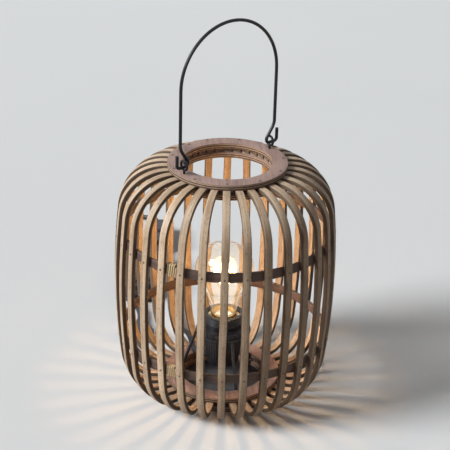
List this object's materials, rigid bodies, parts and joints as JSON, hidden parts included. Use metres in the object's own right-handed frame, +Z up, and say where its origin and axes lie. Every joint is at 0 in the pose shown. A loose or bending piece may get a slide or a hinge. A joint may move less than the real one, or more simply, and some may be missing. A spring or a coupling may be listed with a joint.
{
  "type": "lantern table lamp",
  "caption": "Open lantern table lamp: bent wooden slats between plywood rings, with a wire carrying bail, an inner bulb on a wire stand, and a corded switch and plug.",
  "frame": {"origin": "on the lamp's axis, at the surface it stands on", "axes": "+Z up along the lamp's axis, +X through one of the two screw eyes that carry the bail"},
  "size_m": [0.2787, 0.4834, 0.3925],
  "materials": {
    "slat_wood": "sanded, oiled",
    "plywood": "sanded birch plywood with a visible layered edge",
    "hoop_wood": "dark, raw",
    "cane": "raw cane",
    "steel": "plain",
    "bail_wire": "drawn wire",
    "black_paint": "satin black",
    "holder_plastic": "satin black",
    "white_insulator": "plain",
    "brass": "plain",
    "clear_glass": "clear",
    "black_glass": "glossy",
    "solder": "plain",
    "filament": "lit",
    "pin_metal": "bright",
    "cord_sheath": "matt dark blue-grey",
    "dark_plastic": "satin dark blue-grey"
  },
  "bodies": {
    "lamp": {"base_plate": "black_paint", "base_plate_screws": "steel", "bottom_ring_lower": "plywood", "bottom_ring_upper": "plywood", "centre_contact": "brass", "contact_sleeve": "brass", "cord_hank": "cord_sheath", "cord_hank_to_plug": "cord_sheath", "cord_lamp_to_switch": "cord_sheath", "cord_relief": "cord_sheath", "cord_switch_to_hank": "cord_sheath", "hank_tie": "cord_sheath", "holder_body": "holder_plastic", "holder_insert": "white_insulator", "holder_sleeve": "holder_plastic", "hoop_nails": "steel", "lower_hoop": "hoop_wood", "lower_hoop_lashing": "cane", "plug_body": "dark_plastic", "plug_pins": "pin_metal", "ring_nails": "steel", "screw_eyes": "steel", "slat_pair_01": "slat_wood", "slat_pair_02": "slat_wood", "slat_pair_03": "slat_wood", "slat_pair_04": "slat_wood", "slat_pair_05": "slat_wood", "slat_pair_06": "slat_wood", "slat_pair_07": "slat_wood", "slat_pair_08": "slat_wood", "slat_pair_09": "slat_wood", "slat_pair_10": "slat_wood", "slat_pair_11": "slat_wood", "slat_pair_12": "slat_wood", "slat_pair_13": "slat_wood", "slat_pair_14": "slat_wood", "slat_pair_15": "slat_wood", "slat_pair_16": "slat_wood", "stand_collar": "black_paint", "stand_leg_1": "black_paint", "stand_leg_2": "black_paint", "stand_leg_3": "black_paint", "switch_lower_shell": "dark_plastic", "switch_screws": "steel", "switch_upper_shell": "dark_plastic", "top_ring_lower": "plywood", "top_ring_upper": "plywood", "upper_hoop": "hoop_wood", "upper_hoop_lashing": "cane"},
    "bail": {"bail": "bail_wire"},
    "bulb": {"bulb_cap": "brass", "bulb_filament": "filament", "bulb_glass": "clear_glass", "bulb_insulator": "black_glass", "bulb_leads": "steel", "bulb_stem": "clear_glass", "bulb_tip": "solder"},
    "shade_ring": {"shade_ring": "holder_plastic"},
    "rocker": {"switch_rocker": "dark_plastic"}
  },
  "joints": [
    {"name": "bail_swing", "type": "hinge", "parent": "lamp", "child": "bail", "pos_m": [0, 0, 0.2569], "axis": [1, 0, 0], "range_deg": [-104, 104]},
    {"name": "bulb_lift", "type": "slide", "parent": "lamp", "child": "bulb", "axis": [0, 0, 1], "range_m": [0, 0.195]},
    {"name": "shade_ring_turn", "type": "hinge", "parent": "lamp", "child": "shade_ring", "pos_m": [0, 0, 0.0668], "axis": [0, 0, 1], "range_deg": [0, 360]},
    {"name": "rocker_tilt", "type": "hinge", "parent": "lamp", "child": "rocker", "pos_m": [0.138, 0.2981, 0.0135], "axis": [-0.8348, 0.5505, 0], "range_deg": [-18, 0]}
  ]
}
